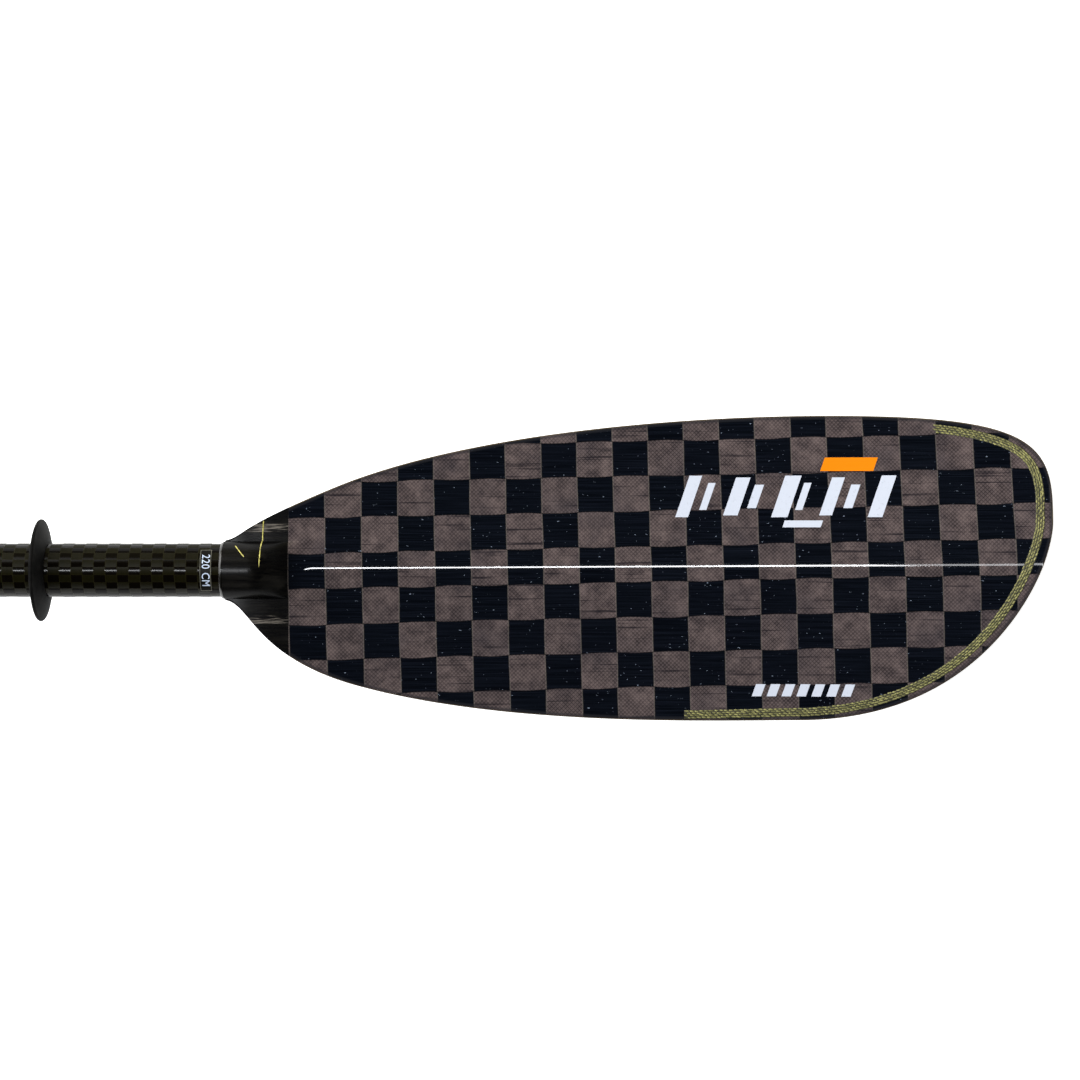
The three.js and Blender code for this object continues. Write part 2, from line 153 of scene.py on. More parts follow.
def grid_faces(rows, columns, wrap=False):
    """Quads of a rows by columns grid of vertices; wrap joins the last column to the first."""
    r, c = np.meshgrid(np.arange(rows - 1), np.arange(columns - (not wrap)), indexing="ij")
    d = (c + 1) % columns
    quads = [r * columns + c, (r + 1) * columns + c, (r + 1) * columns + d, r * columns + d]
    return np.stack(quads, -1).reshape(-1, 4)


def shell_faces(rows, columns):
    """Quads of two grids laid over each other and joined all round their rims."""
    one = grid_faces(rows, columns)
    size, r, c = rows * columns, np.arange(rows), np.arange(columns)
    rim = np.concatenate([
        c, r[1:] * columns + columns - 1,
        (rows - 1) * columns + c[::-1][1:], r[::-1][1:-1] * columns,
    ])
    after = np.roll(rim, -1)
    sides = np.stack([after, rim, rim + size, after + size], -1)
    return np.vstack([one, one[:, ::-1] + size, sides])


def closed_mesh(name, verts, faces):
    """A mesh object from arrays, its doubled points merged and its faces turned outwards by the
    sign of its volume."""
    mesh = bpy.data.meshes.new(name)
    faces = faces.tolist() if isinstance(faces, np.ndarray) else faces
    mesh.from_pydata(np.asarray(verts, float).reshape(-1, 3).tolist(), [], faces)
    work = bmesh.new()
    work.from_mesh(mesh)
    bmesh.ops.remove_doubles(work, verts=work.verts, dist=5e-7)
    if work.calc_volume(signed=True) < 0:
        bmesh.ops.reverse_faces(work, faces=work.faces)
    work.to_mesh(mesh)
    work.free()
    piece = bpy.data.objects.new(name, mesh)
    bpy.context.scene.collection.objects.link(piece)
    return piece


def new_piece(name, verts, faces, body, stands_for, material, minus=()):
    """A closed mesh with other solids cut away, smooth up to 40 degrees, riding on a body in the
    place of CAD nodes."""
    piece = closed_mesh(name, verts, faces)
    cutters = [closed_mesh(f"{name}_cutter", *solid) for solid in minus]
    for cutter in cutters:
        cut = piece.modifiers.new("cut", "BOOLEAN")
        cut.operation, cut.solver, cut.object = "DIFFERENCE", "EXACT", cutter
    if cutters:
        graph = bpy.context.evaluated_depsgraph_get()
        piece.data = bpy.data.meshes.new_from_object(piece.evaluated_get(graph))
        piece.modifiers.clear()
    for cutter in cutters:
        bpy.data.objects.remove(cutter)
    piece.data.materials.clear()
    piece.data.materials.append(material)
    piece.data.polygons.foreach_set("use_smooth", np.ones(len(piece.data.polygons), bool))
    piece.data.set_sharp_from_angle(angle=np.radians(40))
    if stands_for:
        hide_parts(*stands_for)
    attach(piece, body)
    return piece


# ---- Blade laminate ----------------------------------------------------------------------------
# The skins are spread-tow carbon: flat tows 20 mm wide woven over and under each other and laid
# in clear epoxy. Tows that run across look brown-grey under light, those that run along black; that
# brown-grey is a painted sheen, the light the cross tows throw back put into their colour.
def paint(text):
    """sRGB hex to linear RGBA."""
    values = np.array([int(text[i : i + 2], 16) for i in (1, 3, 5)]) / 255
    linear = np.where(values <= 0.04045, values / 12.92, ((values + 0.055) / 1.055) ** 2.4)
    return (*linear.tolist(), 1.0)


def node(tree, kind, *inputs, out=0, named=None, into=None, **settings):
    """Adds a node, sets its properties, fills its inputs with values or links, and links one of its
    outputs on into another socket if one is given. Returns that output."""
    made = tree.nodes.new("ShaderNode" + kind)
    for key, value in settings.items():
        setattr(made, key, value)
    feed = [(made.inputs[i], value) for i, value in enumerate(inputs)]
    feed += [(made.inputs[key], value) for key, value in (named or {}).items()]
    for socket, value in feed:
        if isinstance(value, bpy.types.NodeSocket):
            tree.links.new(value, socket)
        else:
            socket.default_value = value
    if into:
        tree.links.new(made.outputs[out], into)
    return made.outputs[out]


def start_material(name, **constants):
    """A material with a Principled shader, its constants set, and node() bound to its tree."""
    material = bpy.data.materials.new(name)
    material.use_nodes = True
    shader = material.node_tree.nodes["Principled BSDF"]
    for key, value in constants.items():
        shader.inputs[key.replace("_", " ")].default_value = value
    return material, shader, partial(node, material.node_tree)


def spread_tow():
    """Clear-coated spread-tow carbon. Columns cross the blade every 19.88 mm and rows follow it
    every 19.5 mm, a little askew; a tile is light where column number plus row number is even."""
    material, shader, add = start_material(
        "clear_coated_spread_tow_carbon", Roughness=0.5, Specular_IOR_Level=0.0,
        Coat_Weight=0.6, Coat_Roughness=0.035)
    here = add("TexCoord", out="Object")
    split = add("SeparateXYZ", here).node.outputs
    u0 = add("Math", add("Math", split[0], operation="ABSOLUTE"), 1000.0, -NECK,
             operation="MULTIPLY_ADD")
    v0 = add("Math", split[1], 1000.0, -AXIS_Y * 1000, operation="MULTIPLY_ADD")
    sway = add("SeparateXYZ", add("TexNoise", here, named={"Scale": 36.0}, out="Color")).node.outputs
    u = add("Math", add("Math", sway[0], -0.5, operation="ADD"), u0, operation="ADD")
    v = add("Math", add("Math", sway[1], 1.6, -0.8, operation="MULTIPLY_ADD"), v0, operation="ADD")
    lean = add("Math", add("Math", u0, 0.00007, 0.01, operation="MULTIPLY_ADD"), v0,
               operation="MULTIPLY")
    column = add("Math", add("Math", u, lean, operation="ADD"), 1 / 19.88, -FIRST_TOW / 19.88,
                 operation="MULTIPLY_ADD")
    row = add("Math", u0, -0.0207, -8.05, operation="MULTIPLY_ADD")
    row = add("Math", add("Math", v, row, operation="ADD"), 1 / 19.5, operation="MULTIPLY")
    number = add("Math", column, operation="FLOOR")

    # A tow that runs across swells towards the middle of its tile, so the rows' edges wave.
    arc = add("Math", add("Math", column, operation="FRACT"), np.pi, operation="MULTIPLY")
    turn = add("Math", add("Math", number, row, operation="ADD"), np.pi, operation="MULTIPLY")
    swell = add("Math", add("Math", arc, operation="SINE"), add("Math", turn, operation="COSINE"),
                operation="MULTIPLY")
    row = add("Math", swell, 0.02, row, operation="MULTIPLY_ADD")
    both = add("Math", number, add("Math", row, operation="FLOOR"), operation="ADD")
    over = add("Math", add("Math", both, 2.0, operation="FLOORED_MODULO"), 0.5, operation="LESS_THAN")

    # Light tows: a brown-grey that is painted sheen, with crossed hairs 2.2 mm apart, which is as fine
    # as shows, clouds where the resin is thick, and dark creases along the blade where the tow was
    # pressed flat.
    cloud = add("TexNoise", here, named={"Scale": 120.0, "Detail": 5.0, "Roughness": 0.7})
    patch = add("TexNoise", here, named={"Scale": 34.0, "Detail": 3.0, "Roughness": 0.55})
    one = add("Math", add("Math", u0, v0, operation="ADD"), 2 * np.pi / 2.2, operation="MULTIPLY")
    two = add("Math", add("Math", u0, v0, operation="SUBTRACT"), 2 * np.pi / 2.2, operation="MULTIPLY")
    hairs = add("Math", add("Math", one, operation="SINE"), add("Math", two, operation="SINE"),
                operation="MAXIMUM")
    thin = add("MapRange", cloud, 0.35, 0.7, 0.95, 0.35)
    hairs = add("Math", add("MapRange", hairs, 0.35, 1.0), thin, operation="MULTIPLY")
    lit = add("Mix", named={0: add("MapRange", cloud, 0.34, 0.66), 6: paint("#453d3e"),
                            7: paint("#645857")}, data_type="RGBA", out=2)
    lit = add("Mix", named={0: add("MapRange", patch, 0.5, 0.72, 0.0, 0.5), 6: lit,
                            7: paint("#3b373c")}, data_type="RGBA", out=2)
    lit = add("Mix", named={0: hairs, 6: lit, 7: paint("#231f21")}, data_type="RGBA", out=2)
    crease = add("TexNoise", add("Mapping", here, named={"Scale": (9.0, 300.0, 1.0)}),
                 named={"Scale": 1.6, "Detail": 3.0, "Roughness": 0.6})
    lit = add("Mix", named={0: add("MapRange", crease, 0.58, 0.68, 0.0, 0.8), 6: lit,
                            7: paint("#15141a")}, data_type="RGBA", out=2)

    # Dark tows: fibres along the blade, a bluish sheen in patches, and bright points of resin.
    fibre = add("TexNoise", add("Mapping", here, named={"Scale": (22.0, 1500.0, 1.0)}),
                named={"Scale": 1.0, "Detail": 4.0, "Roughness": 0.6})
    night = add("Mix", named={0: add("MapRange", fibre, 0.42, 0.75), 6: paint("#04060b"),
                              7: paint("#11151e")}, data_type="RGBA", out=2)
    points = add("TexNoise", add("Mapping", here, named={"Scale": (500.0, 1100.0, 400.0)}),
                 named={"Scale": 1.0, "Detail": 1.0})
    night = add("Mix", named={0: add("MapRange", points, 0.74, 0.8, 0.0, 0.75), 6: night,
                              7: paint("#7f8a9c")}, data_type="RGBA", out=2)
    # The checker of the weave: black tows along, and tows across whose brown-grey is painted sheen.
    tiles = add("Mix", named={0: over, 6: night, 7: lit}, data_type="RGBA", out=2)

    # Tow edges: a pale hair down the side of a light tow, a dark seam along the rows.
    edge = add("Math", add("Math", column, 0.5, operation="PINGPONG"), 0.016, operation="LESS_THAN")
    tiles = add("Mix", named={0: add("Math", edge, 0.16, operation="MULTIPLY"), 6: tiles,
                              7: paint("#8d857c")}, data_type="RGBA", out=2)
    seam = add("Math", add("Math", row, 0.5, operation="PINGPONG"), 0.014, operation="LESS_THAN")
    tiles = add("Mix", named={0: add("Math", seam, 0.6, operation="MULTIPLY"), 6: tiles,
                              7: paint("#060608")}, data_type="RGBA", out=2)

    # The trimmed edge shows the resin as a golden line, and a dark strip of plain laminate.
    rim = add("Attribute", attribute_name="rim", out="Fac")
    strip = add("MapRange", rim, 2.6, 1.6, 0.0, 0.6)
    surface = add("Mix", named={0: strip, 6: tiles, 7: paint("#232327")}, data_type="RGBA", out=2)
    line = add("MapRange", rim, 0.75, 0.35, 0.0, 0.8)
    add("Mix", named={0: line, 6: surface, 7: paint("#54462e")}, data_type="RGBA", out=2,
        into=shader.inputs["Base Color"])

    # The moulded face follows the tows a little, and fine ripples of resin break its gloss.
    ripple = add("TexNoise", here, named={"Scale": 260.0, "Detail": 2.0})
    relief = add("Math", hairs, 0.25, ripple, operation="MULTIPLY_ADD")
    add("Bump", named={"Height": relief, "Strength": 0.06, "Distance": 0.0003},
        into=shader.inputs["Normal"])
    return material


def socket_overlay():
    """The woven wrap over the socket, pressed in a bag: nearly black and satin, with streaks of
    tow along it, and two pale loose tows beside the shaft."""
    material, shader, add = start_material(
        "bagged_carbon_overlay", Roughness=0.5, Specular_IOR_Level=0.0, Coat_Weight=0.15,
        Coat_Roughness=0.25)
    here = add("TexCoord", out="Object")
    split = add("SeparateXYZ", here).node.outputs
    v0 = add("Math", split[1], 1000.0, -AXIS_Y * 1000, operation="MULTIPLY_ADD")
    fold = add("TexNoise", add("Mapping", here, named={"Scale": (25.0, 90.0, 60.0)}),
               named={"Scale": 1.0, "Detail": 3.0, "Roughness": 0.6, "Distortion": 0.6})
    wrap = add("TexNoise", add("Mapping", here, named={"Scale": (70.0, 900.0, 60.0)}),
               named={"Scale": 1.0, "Detail": 4.0, "Roughness": 0.65})
    cover = add("Mix", named={0: add("MapRange", wrap, 0.4, 0.7), 6: paint("#060607"),
                              7: paint("#11100e")}, data_type="RGBA", out=2)
    bright = add("MapRange", fold, 0.56, 0.74, 0.0, 0.6)
    cover = add("Mix", named={0: bright, 6: cover, 7: paint("#272522")}, data_type="RGBA", out=2)
    beside = add("Math", add("Math", v0, 2.0, operation="ADD"), operation="ABSOLUTE")
    pale = add("Math", add("Math", beside, 25.0, 2.2, operation="COMPARE"),
               add("MapRange", wrap, 0.48, 0.62), operation="MULTIPLY")
    add("Mix", named={0: add("Math", pale, 0.75, operation="MULTIPLY"), 6: cover,
                      7: paint("#77716a")}, data_type="RGBA", out=2, into=shader.inputs["Base Color"])
    relief = add("Math", fold, 2.0, wrap, operation="MULTIPLY_ADD")
    add("Bump", named={"Height": relief, "Strength": 0.35, "Distance": 0.0005},
        into=shader.inputs["Normal"])
    return material


laminate, overlay = spread_tow(), socket_overlay()
for hand, side in ((1, "right"), (-1, "left")):
    for face, label in ((1, "face"), (-1, "back")):
        outer, rim = skin_grid(face, 0)
        inner, _ = skin_grid(face, SKIN)
        rows, columns = rim.shape
        layers = on_paddle(np.stack([outer, inner]), hand)
        piece = new_piece(f"{side}_{label}_laminate", layers, shell_faces(rows, columns),
                          f"{side}_half", [f"{side}_{label}_skin"], laminate)
        piece.data.materials.append(overlay)
        wrapped_part = np.tile(np.arange((rows - 1) * (columns - 1)) < SOCKET_ROWS * (columns - 1), 2)
        index = np.zeros(len(piece.data.polygons), int)
        index[: len(wrapped_part)] = wrapped_part
        piece.data.polygons.foreach_set("material_index", index)
        values = piece.data.attributes.new("rim", "FLOAT", "POINT").data
        values.foreach_set("value", np.tile(rim.ravel(), 2).astype(np.float32))


# ---- Printed bars ------------------------------------------------------------------------------
# The blade carries printed film under its last coat: slanted white bars, one orange bar, a short
# bar and a row of dashes. They are plain shapes.
def printed_film(name, colour, speckle):
    """Screen-printed vinyl: flat ink with worn flecks and a satin face."""
    material, shader, add = start_material(name, Roughness=0.4, Specular_IOR_Level=0.05)
    here = add("TexCoord", out="Object")
    wear = add("TexNoise", here, named={"Scale": 600.0, "Detail": 4.0, "Roughness": 0.7})
    add("Mix", named={0: add("MapRange", wear, 0.6, 0.75, 0.0, 0.8), 6: paint(colour),
                      7: paint(speckle)}, data_type="RGBA", out=2, into=shader.inputs["Base Color"])
    add("Bump", named={"Height": wear, "Strength": 0.1, "Distance": 0.0001},
        into=shader.inputs["Normal"])
    return material


def printed_bars(bars, slant=0.35, along=12, across=10):
    """Closed films 0.06 mm thick on the power face, one for each (u0, u1, v0, v1); a bar leans
    along u by slant times its height."""
    s, t = np.meshgrid(np.linspace(0, 1, along), np.linspace(0, 1, across), indexing="ij")
    low_u, high_u, low_v, high_v = np.array(bars, float).T[..., None, None]
    v = low_v + (high_v - low_v) * t
    u = low_u + (high_u - low_u) * s + slant * (v - low_v)
    height = power(u, v)
    layers = [np.stack([u, v, height + lift], -1) for lift in (0.07, 0.01)]
    one, size = shell_faces(along, across), 2 * along * across
    faces = (one[None] + size * np.arange(len(bars))[:, None, None]).reshape(-1, 4)
    return np.stack(layers, 1), faces


white_ink = printed_film("white_printed_ink", "#bfc5d3", "#9a9eaa")
orange_ink = printed_film("orange_printed_ink", "#e07c04", "#c8760c")
BAR_WIDTHS, BAR_TRIMS = (7, 4, 8, 5, 9, 4, 7, 5, 8), (0, 4, 1, 5, 0, 4, 1, 5, 0)
BAR_STARTS, DASH_STARTS = 246 + 13.2 * np.arange(9), 288.5 + 8.2 * np.arange(7)
PRINTS = {
    "white_bars": (white_ink, [(u, u + width, 29 + trim, 52 - trim)
                               for u, width, trim in zip(BAR_STARTS, BAR_WIDTHS, BAR_TRIMS)]),
    "orange_bar": (orange_ink, [(326, 355, 54.5, 62)]),
    "short_bar": (white_ink, [(305, 326, 23.4, 27.2)]),
    "dash_row": (white_ink, [(u, u + 5.2, -70.2, -63.4) for u in DASH_STARTS]),
}
for hand, side in ((1, "right"), (-1, "left")):
    for name, (ink, bars) in PRINTS.items():
        points, faces = printed_bars(bars)
        new_piece(f"{side}_{name}", on_paddle(points, hand), faces, f"{side}_half", [], ink)


# ---- Edge stitching ----------------------------------------------------------------------------
# An aramid tape is stitched round the tip against splitting: four rows of short chain stitches in
# olive-yellow thread, five millimetres wide in all, half sunk in the resin of the power face.
STITCH_REACH = (62, 200)
STITCH_INSET = (2.7, 5.0, 1.0)
STITCH_PITCH, ROW_PITCH = 2.7, 1.2


def stitch_path(count):
    """Points evenly spaced along the outline round the tip, their inward normals, and the inset,
    which goes straight from its start to its value at the tip and on to its end."""
    long_part = LONG_SIDE[LONG_SIDE[:, 0] >= LENGTH - STITCH_REACH[0]]
    short_part = SHORT_SIDE[SHORT_SIDE[:, 0] >= LENGTH - STITCH_REACH[1]][::-1]
    line = np.vstack([long_part, short_part])
    run = np.concatenate([[0], np.cumsum(np.hypot(*np.diff(line, axis=0).T))])
    share = np.linspace(0, 1, count)
    at, ahead, behind = (
        np.stack([np.interp(np.clip(share + s, 0, 1) * run[-1], run, line[:, i]) for i in (0, 1)], -1)
        for s in (0, 0.004, -0.004)
    )
    along = (ahead - behind) / np.linalg.norm(ahead - behind, axis=1)[:, None]
    inward = np.stack([along[:, 1], -along[:, 0]], -1)
    return at, along, inward, np.interp(share, [0, 0.35, 1], STITCH_INSET), run[-1]


def tape(count=260):
    """The strip of tape under the stitches: a closed band that follows the power face."""
    at, _, inward, inset, _ = stitch_path(count)
    depth = inset[:, None, None] + np.linspace(0.1, 4.9, 7)[None, :, None]
    spot = at[:, None] + inward[:, None] * depth
    height = power(spot[..., 0], spot[..., 1])[..., None]
    crown = 0.1 * np.array([0, 0.8, 1, 1, 1, 0.8, 0])[None, :, None]
    return np.stack([np.concatenate([spot, height + 0.03 + crown], -1),
                     np.concatenate([spot, height - 0.03], -1)]), shell_faces(count, 7)


def stitches(rows=4):
    """Each stitch is a flattened ellipsoid of 8 by 5 points, laid along the outline; every other
    row is half a pitch on, and thread ends stray a little by a fixed seed."""
    count = int(stitch_path(2)[-1] / STITCH_PITCH)
    at, along, inward, inset, _ = stitch_path(count)
    rng = np.random.default_rng(7)
    k = np.arange(rows)[None, :, None]
    stray = rng.normal(0, 0.12, (count, rows, 2))
    shift = (k % 2) * STITCH_PITCH / 2 + stray[..., :1]
    depth = inset[:, None, None] + 0.75 + k * ROW_PITCH + stray[..., 1:]
    centre = at[:, None] + along[:, None] * shift + inward[:, None] * depth
    lon, lat = np.meshgrid(np.linspace(0, 2 * np.pi, 8, False), np.linspace(-np.pi / 2, np.pi / 2, 5))
    length = (1.25 + 0.15 * rng.standard_normal((count, rows)))[..., None, None]
    p = length * np.cos(lat) * np.cos(lon)
    q = 0.46 * np.cos(lat) * np.sin(lon)
    slant = p * 0.12
    spot = (centre[:, :, None, None] + along[:, None, None, None] * p[..., None]
            + inward[:, None, None, None] * (q + slant)[..., None])
    spot = spot[:-1]
    height = power(spot[..., 0], spot[..., 1]) + 0.14 + 0.28 * np.sin(lat)
    return np.concatenate([spot, height[..., None]], -1).reshape(-1, 40, 3)


def many(one, count, size):
    """The faces of one small mesh repeated for count copies of size points."""
    return (one[None] + size * np.arange(count)[:, None, None]).reshape(-1, 4)


def aramid_thread(name, dark, light):
    """Twisted aramid yarn under a film of resin: olive-yellow, each stitch a little lighter or
    darker, with its twist as fine dark lines 0.5 mm apart."""
    material, shader, add = start_material(name, Roughness=0.6, Specular_IOR_Level=0.3)
    here = add("TexCoord", out="Object")
    shade = add("TexNoise", here, named={"Scale": 420.0, "Detail": 2.0})
    base = add("Mix", named={0: add("MapRange", shade, 0.35, 0.65), 6: paint(dark),
                             7: paint(light)}, data_type="RGBA", out=2)
    twist = add("TexWave", here, named={"Scale": 320.0, "Distortion": 1.5}, bands_direction="DIAGONAL")
    add("Mix", named={0: add("MapRange", twist, 0.2, 0.0, 0.0, 0.6), 6: base, 7: paint("#2e2c1a")},
        data_type="RGBA", out=2, into=shader.inputs["Base Color"])
    return material


def aramid_tape():
    """Woven aramid tape soaked in resin, darker than the thread, its weave 0.9 mm apart."""
    material, shader, add = start_material("resin_soaked_aramid_tape", Roughness=0.5,
                                           Specular_IOR_Level=0.3)
    here = add("TexCoord", out="Object")
    weave = add("TexVoronoi", here, named={"Scale": 1100.0})
    soak = add("TexNoise", here, named={"Scale": 150.0, "Detail": 4.0})
    base = add("Mix", named={0: soak, 6: paint("#2c2b19"), 7: paint("#484729")},
               data_type="RGBA", out=2)
    add("Mix", named={0: add("MapRange", weave, 0.35, 0.6, 0.0, 0.8), 6: base, 7: paint("#1d1c12")},
        data_type="RGBA", out=2, into=shader.inputs["Base Color"])
    add("Bump", named={"Height": weave, "Strength": 0.4, "Distance": 0.0002},
        into=shader.inputs["Normal"])
    return material


thread = aramid_thread("resin_wetted_aramid_thread", "#5d5c36", "#94915a")
tape_finish = aramid_tape()
for hand, side in ((1, "right"), (-1, "left")):
    spots = stitches()
    piece = new_piece(f"{side}_edge_stitches", on_paddle(spots, hand),
                      many(grid_faces(5, 8, wrap=True), len(spots), 40),
                      f"{side}_half", [f"{side}_edge_stitching"], thread)
    band, faces = tape()
    new_piece(f"{side}_edge_tape", on_paddle(band, hand), faces, f"{side}_half", [],
              tape_finish)


# ---- Tracer threads ----------------------------------------------------------------------------
# Two yellow aramid yarns are woven into the overlay at the neck as tracers, and show through the
# resin: one slants over the socket, one crosses the face where the overlay flattens out.
def laid_thread(u, v, radius=0.3, around=8):
    """A fine tube laid on the power face along (u, v), its ends drawn to a point: a circle square
    to the path, its upright along the face's height."""
    z = skin_height(u[:, None], v[:, None], 1, 0)[:, 0] + 0.02
    spine = np.stack([u, v, z], -1)
    ahead = np.gradient(spine, axis=0)
    ahead /= np.linalg.norm(ahead, axis=1)[:, None]
    across = np.cross(ahead, (0, 0, 1))
    across /= np.linalg.norm(across, axis=1)[:, None]
    upright = np.cross(across, ahead)
    turn = np.linspace(0, 2 * np.pi, around, False)[None, :, None]
    reach = radius * np.clip(np.minimum(np.arange(len(u)), np.arange(len(u))[::-1]) / 2, 0, 1)
    ring = across[:, None] * np.cos(turn) + upright[:, None] * np.sin(turn)
    return spine[:, None] + reach[:, None, None] * ring, grid_faces(len(u), around, wrap=True)


tracer = aramid_thread("yellow_aramid_tracer", "#a39c48", "#d0c874")
TRACERS = {"slant": [(6.4, 13.5), (12.0, 7.2)], "cross": [(20.7, 27.3), (20.3, 19.1), (19.9, 1.4)]}
for hand, side in ((1, "right"), (-1, "left")):
    for name, corners in TRACERS.items():
        share = np.linspace(0, len(corners) - 1, 30)
        u, v = (np.interp(share, np.arange(len(corners)), axis) for axis in zip(*corners))
        points, faces = laid_thread(u, v)
        new_piece(f"{side}_{name}_tracer", on_paddle(points, hand), faces, f"{side}_half", [],
                  tracer)


# ---- Shaft -------------------------------------------------------------------------------------
# The shaft is a carbon tube woven in a plain weave, 22 tows round, and cured under clear resin.
# Its far end is cut back to a tongue that is bonded into the blade's back skin.
BORE_R = 13.4
TONGUE = 95
CUT_REACH = 20
BUTTON_AT, BUTTON_HOLE_R, FEATHER = 45, 3.3, (-60, 0, 60)
CELL_ALONG, CELLS_ROUND = 6.2, 22


def revolve(profile, around=96):
    """A closed profile of (along, radius) points carried round the axis from straight up."""
    along, radius = np.array(profile, float).T[..., None]
    angle = np.linspace(0, 2 * np.pi, around, False)
    spot = np.broadcast_arrays(along, radius * np.sin(angle), radius * np.cos(angle))
    ring = grid_faces(len(profile) + 1, around, wrap=True) % (len(profile) * around)
    return np.stack(spot, -1), ring


def on_shaft(points, hand=1):
    """Millimetres along and about the shaft's axis to the paddle's metres."""
    x, y, z = np.moveaxis(np.asarray(points, float) / 1000, -1, 0)
    return np.stack([hand * x, AXIS_Y + y, AXIS_Z + z], -1)


def tongue_cutter():
    """What is cut from the shaft's end: everything over a line just under the power face."""
    u = np.linspace(16, TONGUE + 1, 20)
    under = power(u, SHAFT_R + 0 * u) - SKIN - 0.5
    under[0] = -4
    top = [(4, SHAFT_R + 0.4), *zip(u, under), (TONGUE + 1, 2 * SHAFT_R), (4, 2 * SHAFT_R)]
    x, z = np.array(top).T
    flat = np.stack([np.stack([x + NECK, 0 * x + y, z], -1) for y in (-22, 22)])
    ring, n = np.arange(len(x)), len(x)
    sides = np.stack([ring, np.roll(ring, -1), np.roll(ring, -1) + n, ring + n], -1)
    return flat.reshape(-1, 3), [*sides.tolist(), ring[::-1].tolist(), (ring + n).tolist()]


def button_holes(degrees):
    """Round bars from the axis out through the tube at the button's place, one for each angle
    about the axis: (y, z) turned by (y cos - z sin, z cos + y sin)."""
    bar = [(0, 0), (0, BUTTON_HOLE_R), (CUT_REACH, BUTTON_HOLE_R), (CUT_REACH, 0)]
    points, faces = revolve(bar, 32)
    z, y, x = np.moveaxis(points, -1, 0)
    return [(np.stack([x + BUTTON_AT, y * np.cos(turn) - z * np.sin(turn),
                       z * np.cos(turn) + y * np.sin(turn)], -1), faces)
            for turn in np.radians(degrees)]


def woven_tube():
    """Plain-woven carbon: a checker of tows along and round the tube, 6.2 mm by 16.4 degrees.
    Tows along it flash as bright dashes, tows round it look olive where light comes from a side."""
    material, shader, add = start_material("plain_woven_carbon_tube", Specular_IOR_Level=0.05)
    here = add("TexCoord", out="Object")
    split = add("SeparateXYZ", here).node.outputs
    x = add("Math", add("Math", split[0], operation="ABSOLUTE"), 1000 / CELL_ALONG, 0.35,
            operation="MULTIPLY_ADD")
    y = add("Math", split[1], AXIS_Y, operation="SUBTRACT")
    z = add("Math", split[2], AXIS_Z, operation="SUBTRACT")
    turn = add("Math", add("Math", y, z, operation="ARCTAN2"), CELLS_ROUND / 2 / np.pi, 0.5,
               operation="MULTIPLY_ADD")
    wave = add("TexNoise", here, named={"Scale": 60.0}, out="Color")
    sway = add("SeparateXYZ", wave).node.outputs
    x = add("Math", sway[0], 0.16, x, operation="MULTIPLY_ADD")
    turn = add("Math", sway[1], 0.12, turn, operation="MULTIPLY_ADD")
    both = add("Math", add("Math", x, operation="FLOOR"), add("Math", turn, operation="FLOOR"),
               operation="ADD")
    round_it = add("Math", add("Math", both, 2.0, operation="FLOORED_MODULO"), 0.5,
                   operation="LESS_THAN")
    grain = add("TexNoise", add("Mapping", here, named={"Scale": (120.0, 1600.0, 1600.0)}),
                named={"Scale": 1.0, "Detail": 3.0})
    hoop = add("TexNoise", add("Mapping", here, named={"Scale": (1600.0, 120.0, 120.0)}),
               named={"Scale": 1.0, "Detail": 3.0})
    dark = add("Mix", named={0: grain, 6: paint("#030201"), 7: paint("#080604")},
               data_type="RGBA", out=2)
    olive = add("Mix", named={0: hoop, 6: paint("#090802"), 7: paint("#151303")},
                data_type="RGBA", out=2)
    tiles = add("Mix", named={0: round_it, 6: dark, 7: olive}, data_type="RGBA", out=2)
    end = add("Math", add("Math", x, 0.5, operation="PINGPONG"), 0.035, operation="LESS_THAN")
    side = add("Math", add("Math", turn, 0.5, operation="PINGPONG"), 0.02, operation="LESS_THAN")
    seam = add("Math", end, side, operation="MAXIMUM")
    add("Mix", named={0: add("Math", seam, 0.5, operation="MULTIPLY"), 6: tiles,
                      7: paint("#1d1b0a")}, data_type="RGBA", out=2, into=shader.inputs["Base Color"])
    add("MapRange", round_it, 0.0, 1.0, 0.13, 0.42, into=shader.inputs["Roughness"])
    # A tow that runs round is drawn tight and lies a little askew, 9 degrees off the round.
    tilt = add("Math", add("Math", turn, operation="FRACT"), round_it, operation="MULTIPLY")
    add("Bump", named={"Height": tilt, "Strength": 1.0, "Distance": 0.00062},
        into=shader.inputs["Normal"])
    return material


tube = woven_tube()
for hand, side in ((1, "right"), (-1, "left")):
    run = np.concatenate([np.arange(0.15, NECK + TONGUE, 20), [NECK + TONGUE]])
    points, faces = revolve([(0.15, BORE_R), *((x, SHAFT_R) for x in run), (NECK + TONGUE, BORE_R)])
    cutters = [tongue_cutter()] + (button_holes(FEATHER) if side == "right" else [])
    new_piece(f"{side}_woven_shaft", on_shaft(points, hand), faces, f"{side}_half",
              [f"{side}_shaft"], tube,
              minus=[(on_shaft(p, hand), f) for p, f in cutters])


# ---- Drip rings --------------------------------------------------------------------------------
# A drip ring is moulded in black rubber and stretched over the shaft: a thin lip that throws the
# water off, and a hub that grips. It can be pushed along to suit the paddler.
RING_R, RING_HUB_R, RING_AT, RING_OUT, RING_IN = 27.8, 17.4, 549, 4.3, 3.6


